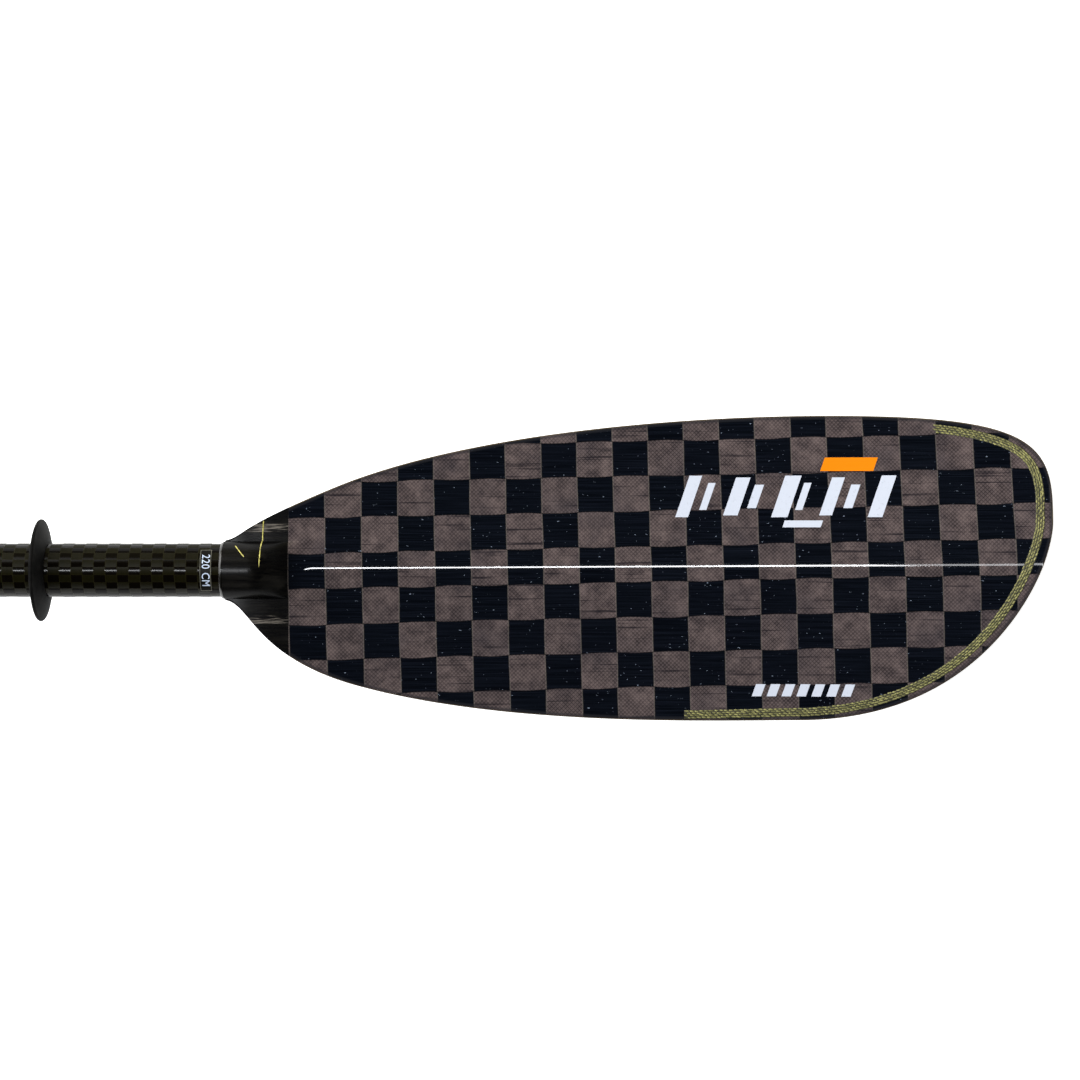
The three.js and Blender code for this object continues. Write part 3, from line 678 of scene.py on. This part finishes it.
def ring_profile():
    bore, x = SHAFT_R + 0.1, RING_AT
    arc = np.linspace(-np.pi / 2, np.pi / 2, 9)
    lip = [(x + np.sin(a), RING_R - 1 + np.cos(a)) for a in arc]
    return [
        (x + RING_OUT, bore), (x - RING_IN, bore), (x - RING_IN, RING_HUB_R - 0.5),
        (x - RING_IN + 0.3, RING_HUB_R - 0.1), (x - 1.8, RING_HUB_R), (x - 1.1, RING_HUB_R + 0.8),
        (x - 1, RING_HUB_R + 2), (x - 1, RING_R - 3), *lip, (x + 1.2, RING_R - 2),
        (x + 1.72, RING_R - 3.4), (x + 2.6, RING_HUB_R + 4), (x + 3.1, RING_HUB_R + 1.6),
        (x + RING_OUT - 0.3, bore + 1.3), (x + RING_OUT, bore + 0.8),
    ]


def moulded_rubber():
    """Moulded rubber: nearly black and dull, turned marks round it and a bloom of grey dust."""
    material, shader, add = start_material("moulded_black_rubber", Roughness=0.7,
                                           Specular_IOR_Level=0.05)
    here = add("TexCoord", out="Object")
    y = add("Math", add("SeparateXYZ", here).node.outputs[1], AXIS_Y, operation="SUBTRACT")
    z = add("Math", add("SeparateXYZ", here).node.outputs[2], AXIS_Z, operation="SUBTRACT")
    radius = add("Math", add("Math", y, y, operation="MULTIPLY"),
                 add("Math", z, z, operation="MULTIPLY"), operation="ADD")
    radius = add("Math", radius, 0.5, operation="POWER")
    marks = add("Math", add("Math", radius, 5200.0, operation="MULTIPLY"), operation="SINE")
    dust = add("TexNoise", here, named={"Scale": 180.0, "Detail": 4.0, "Roughness": 0.65})
    add("Mix", named={0: add("MapRange", dust, 0.45, 0.75), 6: paint("#070707"),
                      7: paint("#161514")}, data_type="RGBA", out=2, into=shader.inputs["Base Color"])
    relief = add("Math", marks, 0.3, dust, operation="MULTIPLY_ADD")
    add("Bump", named={"Height": relief, "Strength": 0.25, "Distance": 0.0002},
        into=shader.inputs["Normal"])
    return material


rubber = moulded_rubber()
for hand, side in ((1, "right"), (-1, "left")):
    points, faces = revolve(ring_profile(), 128)
    new_piece(f"{side}_drip_cup", on_shaft(points, hand), faces, f"{side}_ring",
              [f"{side}_drip_ring"], rubber)


# ---- Neck beads --------------------------------------------------------------------------------
# Where the shaft enters the blade's socket the joint is sealed with a small bead of black epoxy,
# 1.5 mm wide, wiped to a quarter round.
def cast_epoxy():
    """Cast epoxy with black pigment: glossy, with slow waves where it was wiped by a finger."""
    material, shader, add = start_material("black_epoxy_bead", Roughness=0.22)
    here = add("TexCoord", out="Object")
    wipe = add("TexNoise", here, named={"Scale": 150.0, "Detail": 3.0})
    add("Mix", named={0: wipe, 6: paint("#080807"), 7: paint("#12110e")}, data_type="RGBA", out=2,
        into=shader.inputs["Base Color"])
    add("Bump", named={"Height": wipe, "Strength": 0.3, "Distance": 0.0003},
        into=shader.inputs["Normal"])
    return material


epoxy = cast_epoxy()
for hand, side in ((1, "right"), (-1, "left")):
    inner, x = SHAFT_R + 0.1, NECK - 0.3
    bend = np.linspace(0, np.pi / 2, 7)
    crown = ((x - 1.5 * np.cos(a), inner + (SOCKET_R - inner) * np.sin(a)) for a in bend[1:])
    bead = [(x, inner), (x - 1.5, inner), *crown]
    points, faces = revolve(bead)
    new_piece(f"{side}_epoxy_bead", on_shaft(points, hand), faces, f"{side}_half",
              [f"{side}_neck_bead"], epoxy)


# ---- Size label --------------------------------------------------------------------------------
# A clear film with a printed pale border and the paddle's length is stuck over the shaft's top.
LABEL_AT, LABEL_WIDTH, LABEL_SPREAD = 640.2, 6.6, 0.86
LINE_WIDTH, MARK_LENGTH, MARK_HEIGHT = 0.22, 17.6, 4.3


def wrapped(x, arc, radius):
    """Points over the shaft: x along it, arc millimetres round it from its top towards -Y."""
    turn = arc / SHAFT_R
    return np.stack([x + 0 * turn, -radius * np.sin(turn), radius * np.cos(turn)], -1)


white_film = printed_film("pale_blue_printed_ink", "#b6c3d8", "#5b606a")
dark_film = printed_film("clear_film_over_carbon", "#0e0d0b", "#1a1812")
x, arc = np.meshgrid(np.linspace(-0.5, 0.5, 3) * LABEL_WIDTH + LABEL_AT,
                     np.linspace(-1, 1, 49) * LABEL_SPREAD * SHAFT_R, indexing="ij")
film = np.stack([wrapped(x, arc, SHAFT_R + 0.2), wrapped(x, arc, SHAFT_R + 0.02)])
new_piece("size_film", on_shaft(film), shell_faces(3, 49), "right_half", ["size_label"],
          dark_film)

edge = np.linspace(0, 1, 40)
half, reach = LABEL_WIDTH / 2 - 0.35, LABEL_SPREAD * SHAFT_R - 0.35
loop = np.vstack([
    np.stack([-half + 2 * half * edge, -reach + 0 * edge], -1),
    np.stack([half + 0 * edge, -reach + 2 * reach * edge], -1),
    np.stack([half - 2 * half * edge, reach + 0 * edge], -1),
    np.stack([-half + 0 * edge, reach - 2 * reach * edge], -1),
])
loop = np.vstack([part[:-1] for part in np.split(loop, 4)])
inner = loop * (1 - LINE_WIDTH / half, 1 - LINE_WIDTH / reach)
sides = [(loop, 0.2), (loop, 0.27), (inner, 0.27), (inner, 0.2)]
frame_points = np.stack([wrapped(LABEL_AT + p[:, 0], p[:, 1], SHAFT_R + h) for p, h in sides])
turns = grid_faces(5, len(loop), wrap=True) % (4 * len(loop))
border_ink = printed_film("grey_printed_border", "#6b6a60", "#2d2c28")
new_piece("size_border", on_shaft(frame_points), turns, "right_half", [], border_ink)

words = bpy.data.curves.new("size_mark", "FONT")
words.body, words.size, words.extrude = "220 CM", 0.006, 0.00006
words.align_x, words.align_y, words.space_character = "CENTER", "CENTER", 1.05
words.resolution_u = 3
holder = bpy.data.objects.new("size_mark_text", words)
bpy.context.scene.collection.objects.link(holder)
drawn = holder.to_mesh()
points = np.empty(len(drawn.vertices) * 3)
drawn.vertices.foreach_get("co", points)
points = points.reshape(-1, 3) * 1000
polygons = [list(p.vertices) for p in drawn.polygons]
holder.to_mesh_clear()
bpy.data.objects.remove(holder)
points[:, 0] *= MARK_LENGTH / np.ptp(points[:, 0])
points[:, 1] *= MARK_HEIGHT / np.ptp(points[:, 1])
letters = wrapped(LABEL_AT + points[:, 1], points[:, 0], SHAFT_R + 0.26 + points[:, 2])
new_piece("size_mark", on_shaft(letters), polygons, "right_half", [], white_film)


# ---- Ferrule -----------------------------------------------------------------------------------
# The shaft parts in the middle. A glass-fibre spigot glued into the left half slides in a sleeve
# glued into the right; a rubber O-ring takes up the play and a spring button locks three angles.
def wound_glass():
    """Wound glass fibre in dark epoxy: a charcoal ground, pale strands in a fine helix, satin."""
    material, shader, add = start_material("wound_glass_fibre_tube", Roughness=0.35)
    here = add("TexCoord", out="Object")
    split = add("SeparateXYZ", here).node.outputs
    turn = add("Math", add("Math", split[1], AXIS_Y, operation="SUBTRACT"),
               add("Math", split[2], AXIS_Z, operation="SUBTRACT"), operation="ARCTAN2")
    helix = add("Math", split[0], 3200.0, turn, operation="MULTIPLY_ADD")
    strand = add("Math", add("Math", helix, operation="SINE"), 0.5, 0.5, operation="MULTIPLY_ADD")
    cloud = add("TexNoise", here, named={"Scale": 240.0, "Detail": 4.0, "Roughness": 0.6})
    weight = add("Math", strand, add("MapRange", cloud, 0.35, 0.7), operation="MULTIPLY")
    add("Mix", named={0: weight, 6: paint("#1a1a17"), 7: paint("#3e3d34")}, data_type="RGBA", out=2,
        into=shader.inputs["Base Color"])
    add("Bump", named={"Height": strand, "Strength": 0.2, "Distance": 0.0001},
        into=shader.inputs["Normal"])
    return material


def pressed_steel():
    """Pressed stainless steel: bright grey with drawn lines 0.6 mm apart."""
    material, shader, add = start_material("pressed_stainless_steel", Metallic=1.0)
    here = add("TexCoord", out="Object")
    lines = add("TexNoise", add("Mapping", here, named={"Scale": (1500.0, 150.0, 150.0)}),
                named={"Scale": 1.0, "Detail": 3.0})
    add("Mix", named={0: lines, 6: paint("#8f9193"), 7: paint("#c6c8ca")}, data_type="RGBA", out=2,
        into=shader.inputs["Base Color"])
    add("MapRange", lines, 0.3, 0.7, 0.22, 0.38, into=shader.inputs["Roughness"])
    return material


SLEEVE_R, SLEEVE_BORE, SPIGOT_R, SPIGOT_BORE = 13.25, 12.3, 12.1, 10.1
glass, steel = wound_glass(), pressed_steel()
sleeve = [(0.15, SLEEVE_BORE), (0.15, SLEEVE_R), (112, SLEEVE_R), (112, SLEEVE_BORE)]
points, faces = revolve(sleeve)
new_piece("ferrule_sleeve", on_shaft(points), faces, "right_half", ["right_ferrule_sleeve"],
          glass, minus=[(on_shaft(p), f) for p, f in button_holes(FEATHER)])

groove = SPIGOT_R - 1.1
spigot = [
    (-60, SPIGOT_BORE), (-60, SLEEVE_R), (-0.15, SLEEVE_R), (-0.15, SPIGOT_R), (79.3, SPIGOT_R),
    (79.3, groove), (80.7, groove), (80.7, SPIGOT_R), (91, SPIGOT_R), (91.7, SPIGOT_R - 0.3),
    (92, SPIGOT_R - 1), (92, SPIGOT_BORE),
]
points, faces = revolve(spigot)
new_piece("ferrule_spigot", on_shaft(points), faces, "left_half", ["left_ferrule_spigot"],
          glass, minus=[(on_shaft(p), f) for p, f in button_holes((0,))])

wire = np.linspace(0, 2 * np.pi, 12, False)
centre = (groove + SLEEVE_BORE) / 2
points, faces = revolve([(80 + 0.5 * np.cos(a), centre + 0.5 * np.sin(a)) for a in wire])
new_piece("rubber_o_ring", on_shaft(points), faces, "o_ring_carrier", ["ferrule_o_ring"],
          rubber)

dome = np.linspace(0, np.pi / 2, 9)
flange = 4.49
button = [(flange - 1, 0), (flange - 1, 4.2), (flange, 4.2), (flange, 3.0), (11.1, 3.0),
          *((11.1 + 0.9 * np.sin(a), 3.0 * np.cos(a)) for a in dome[1:])]
points, faces = revolve(button, 48)
z, y, x = np.moveaxis(points, -1, 0)
new_piece("steel_button", on_shaft(np.stack([x + BUTTON_AT, y, z], -1)), faces, "button",
          ["snap_button"], steel)


# ---- Hidden foam and spring --------------------------------------------------------------------
# Inside the blades is a closed-cell foam core, foam plugs keep water out of the tubes, and a bent
# leaf of spring steel pushes the button out. They keep their frame shapes.
def rigid_foam():
    """Closed-cell foam cut with a saw: cream, dull, with open cells 0.6 mm across."""
    material, shader, add = start_material("closed_cell_foam", Roughness=0.95,
                                           Specular_IOR_Level=0.2)
    here = add("TexCoord", out="Object")
    cells = add("TexVoronoi", here, named={"Scale": 1600.0})
    add("Mix", named={0: add("MapRange", cells, 0.0, 0.5), 6: paint("#b9b194"),
                      7: paint("#ded8c2")}, data_type="RGBA", out=2, into=shader.inputs["Base Color"])
    add("Bump", named={"Height": cells, "Strength": 0.5, "Distance": 0.0003},
        into=shader.inputs["Normal"])
    return material


foam = rigid_foam()
for name, finish in (
    *((f"{side}_{part}", foam) for side in ("right", "left") for part in ("blade_core", "bulkhead")),
    ("right_joint_plug", foam), ("left_spigot_plug", foam), ("snap_spring", steel),
):
    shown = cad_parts[name]
    shown.data.materials.clear()
    shown.data.materials.append(finish)


# ---- Floor, light and camera -------------------------------------------------------------------
# A white light table under the paddle, a large warm lamp low beside it, a large white one past its
# middle, and strip lamps overhead that draw the bright line down the ridge and the dashes on the
# shaft. The camera looks straight down on the right blade and its neck.
stage_mesh = bpy.data.meshes.new("white_floor")
reach = 6.0
corners = [(-reach, -reach, 0), (reach, -reach, 0), (reach, reach, 0), (-reach, reach, 0)]
stage_mesh.from_pydata(corners, [], [(0, 1, 2, 3)])
floor = bpy.data.objects.new("white_floor", stage_mesh)
bpy.context.scene.collection.objects.link(floor)
paper, shader, add = start_material("light_table_acrylic", Roughness=0.9, Specular_IOR_Level=0.1)
shade = add("TexNoise", add("TexCoord", out="Object"), named={"Scale": 2.0})
add("Mix", named={0: shade, 6: paint("#f7f7f7"), 7: paint("#fbfbfb")}, data_type="RGBA", out=2,
    into=shader.inputs["Base Color"])
shader.inputs["Emission Color"].default_value = (1, 1, 1, 1)
shader.inputs["Emission Strength"].default_value = 0.85
stage_mesh.materials.append(paper)

world = bpy.data.worlds.new("dark_studio")
world.use_nodes = True
world.node_tree.nodes["Background"].inputs["Color"].default_value = (0.02, 0.02, 0.022, 1)
bpy.context.scene.world = world
bpy.context.scene.view_settings.view_transform = "Standard"


def lamp(name, where, towards, width, height, watts, colour, turn=0):
    """A rectangular area lamp at a point that faces another, turned about the line between."""
    light = bpy.data.lights.new(name, "AREA")
    light.shape, light.size, light.size_y = "RECTANGLE", width, height
    light.energy, light.color = watts, colour
    made = bpy.data.objects.new(name, light)
    made.location = where
    made.rotation_euler = (Vector(towards) - Vector(where)).to_track_quat("-Z", "Y").to_euler()
    made.rotation_euler.rotate_axis("Z", turn)
    bpy.context.scene.collection.objects.link(made)


target = (0.82, 0, 0)
strip = AXIS_Y - 0.028
lamp("warm_side_lamp", (0.82, 2.6, 1.5), target, 6.0, 3.0, 42, (1.0, 0.92, 0.58))
lamp("hand_lamp", (-1.8, 1.4, 1.8), target, 5.0, 3.2, 260, (1, 1, 1))
over = AXIS_Z + 2.17
bend = AXIS_Y + 0.093
lamp("ridge_strip", (1.08, bend, over), (1.08, bend, 0), 0.42, 0.05, 4.0, (0.95, 0.97, 1), -0.437)
bend = AXIS_Y + 0.233
lamp("ridge_end_strip", (0.78, bend, over), (0.78, bend, 0), 0.22, 0.05, 0.5, (0.95, 0.97, 1), -0.437)
lamp("shaft_strip", (0.2, strip, over), (0.2, strip, 0), 0.6, 0.06, 24, (0.95, 0.97, 1))

lens = bpy.data.cameras.new("camera")
lens.lens, lens.sensor_width = 76.6, 36
camera = bpy.data.objects.new("camera", lens)
camera.location = (0.8202, AXIS_Y + 0.0164, AXIS_Z + 1.25)
bpy.context.scene.collection.objects.link(camera)
bpy.context.scene.camera = camera
